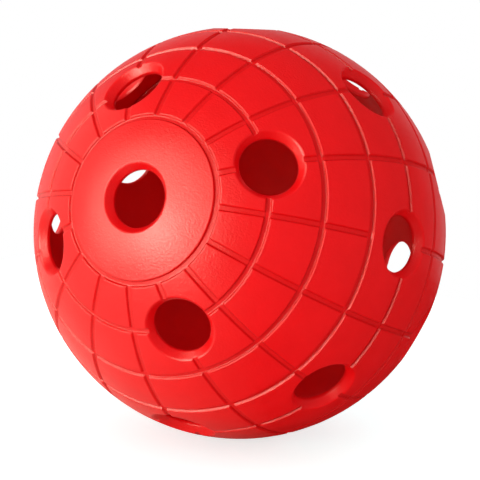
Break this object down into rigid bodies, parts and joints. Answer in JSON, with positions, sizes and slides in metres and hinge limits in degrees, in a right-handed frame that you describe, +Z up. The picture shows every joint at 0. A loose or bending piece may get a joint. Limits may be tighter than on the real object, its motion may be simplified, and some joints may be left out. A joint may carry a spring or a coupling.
{
  "type": "floorball ball",
  "caption": "Hollow red plastic floorball ball with flared round holes all over, a grid of fine grooves and a smooth cap at each pole, welded from two half shells.",
  "frame": {"origin": "centre of the ball", "axes": "+Z up out of the middle of the front outer-ring hole on top, -Y the way the front pole faces, which is tilted 15 degrees up, +X to the right"},
  "size_m": [0.072, 0.072, 0.0716],
  "materials": {
    "shell": "satin moulded polyethylene",
    "weld": "remelted polyethylene, slightly glossy"
  },
  "bodies": {
    "root": {"front_half_shell": "shell", "rear_half_shell": "shell", "weld_bead": "weld"}
  },
  "joints": []
}
